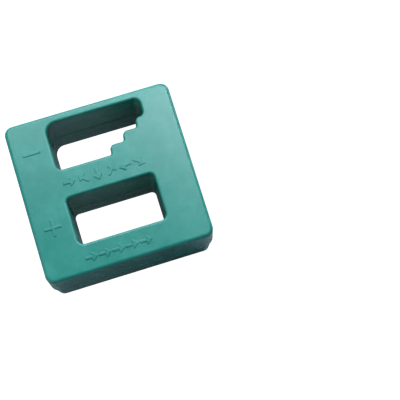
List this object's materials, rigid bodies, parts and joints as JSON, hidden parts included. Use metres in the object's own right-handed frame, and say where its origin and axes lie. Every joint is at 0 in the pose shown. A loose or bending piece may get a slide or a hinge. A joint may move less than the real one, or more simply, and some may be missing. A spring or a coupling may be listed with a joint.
{
  "type": "tool magnetizer and demagnetizer block",
  "caption": "Moulded block with a rectangular opening that magnetizes small steel tools and a stair-sided opening that demagnetizes them, marked with raised plus and minus signs.",
  "frame": {"origin": "middle of the flat rear face that the block lies on", "axes": "+Z from the rear face to the marked front face, +X along the rows of marks in reading direction, +Y from the base bar towards the thin top bar beside the stepped opening"},
  "size_m": [0.052, 0.05, 0.0288],
  "materials": {
    "shell_plastic": "satin",
    "ferrite": "matte"
  },
  "bodies": {
    "root": {"front_shell": "shell_plastic", "rear_shell": "shell_plastic", "centre_magnet": "ferrite", "base_magnet": "ferrite"}
  },
  "joints": []
}
